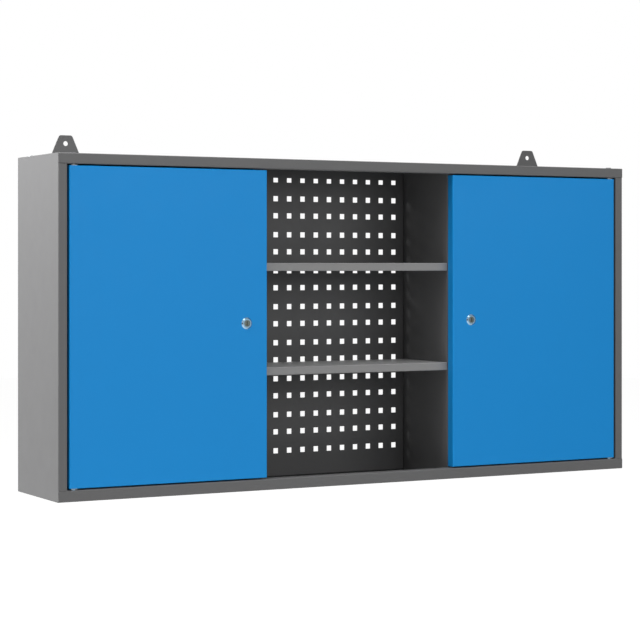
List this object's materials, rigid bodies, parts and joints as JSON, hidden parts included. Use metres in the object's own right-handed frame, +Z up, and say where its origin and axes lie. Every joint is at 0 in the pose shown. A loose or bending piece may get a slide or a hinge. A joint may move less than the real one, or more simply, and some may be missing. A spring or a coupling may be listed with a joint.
{
  "type": "wall-hung tool cabinet with doors",
  "caption": "Wide wall-hung steel tool cabinet with lockable blue doors at both sides and an open middle bay with shelves in front of a perforated back.",
  "frame": {"origin": "under the middle of the object's bounding box, level with the cabinet's underside", "axes": "+X to the right seen from the front, +Y from the front to the wall, +Z up"},
  "size_m": [1.2, 0.204, 0.6435],
  "materials": {
    "case_paint": "fine-textured semi-matt powder coat, dark grey",
    "inner_paint": "fine-textured semi-matt powder coat, darker grey",
    "shelf_paint": "fine-textured semi-matt powder coat, grey",
    "door_paint": "fine-textured semi-matt powder coat, blue",
    "lock_chrome": "polished",
    "zinc_steel": "bright zinc plate",
    "bush_plastic": "natural moulded nylon",
    "pad_rubber": "matt"
  },
  "bodies": {
    "cabinet": {"bottom_panel": "case_paint", "door_pads": "pad_rubber", "left_back_panel": "case_paint", "left_bay_lower_shelf": "shelf_paint", "left_bay_upper_shelf": "shelf_paint", "left_divider": "inner_paint", "left_hanger": "case_paint", "left_side_panel": "case_paint", "lower_middle_shelf": "shelf_paint", "lower_pivot_pins": "zinc_steel", "perforated_back_panel": "inner_paint", "right_back_panel": "case_paint", "right_bay_lower_shelf": "shelf_paint", "right_bay_upper_shelf": "shelf_paint", "right_divider": "inner_paint", "right_hanger": "case_paint", "right_side_panel": "case_paint", "shelf_brackets": "zinc_steel", "top_panel": "case_paint", "upper_middle_shelf": "shelf_paint", "upper_pivot_pins": "zinc_steel"},
    "left_door": {"left_door_pan": "door_paint", "left_door_stiffener": "case_paint", "left_door_bushes": "bush_plastic", "left_lock_body": "lock_chrome", "left_lock_clip": "zinc_steel"},
    "left_lock": {"left_lock_plug": "lock_chrome", "left_lock_cam": "zinc_steel"},
    "right_door": {"right_door_pan": "door_paint", "right_door_stiffener": "case_paint", "right_door_bushes": "bush_plastic", "right_lock_body": "lock_chrome", "right_lock_clip": "zinc_steel"},
    "right_lock": {"right_lock_plug": "lock_chrome", "right_lock_cam": "zinc_steel"}
  },
  "joints": [
    {"name": "left_door_swing", "type": "hinge", "parent": "cabinet", "child": "left_door", "pos_m": [-0.5704, -0.0935, 0.301], "axis": [0, 0, -1], "range_deg": [0, 110]},
    {"name": "left_lock_turn", "type": "hinge", "parent": "left_door", "child": "left_lock", "pos_m": [-0.23995, -0.09, 0.3023], "axis": [0, -1, 0], "range_deg": [0, 90]},
    {"name": "right_door_swing", "type": "hinge", "parent": "cabinet", "child": "right_door", "pos_m": [0.5704, -0.0935, 0.301], "axis": [0, 0, 1], "range_deg": [0, 110]},
    {"name": "right_lock_turn", "type": "hinge", "parent": "right_door", "child": "right_lock", "pos_m": [0.23995, -0.09, 0.3023], "axis": [0, 1, 0], "range_deg": [0, 90]}
  ]
}
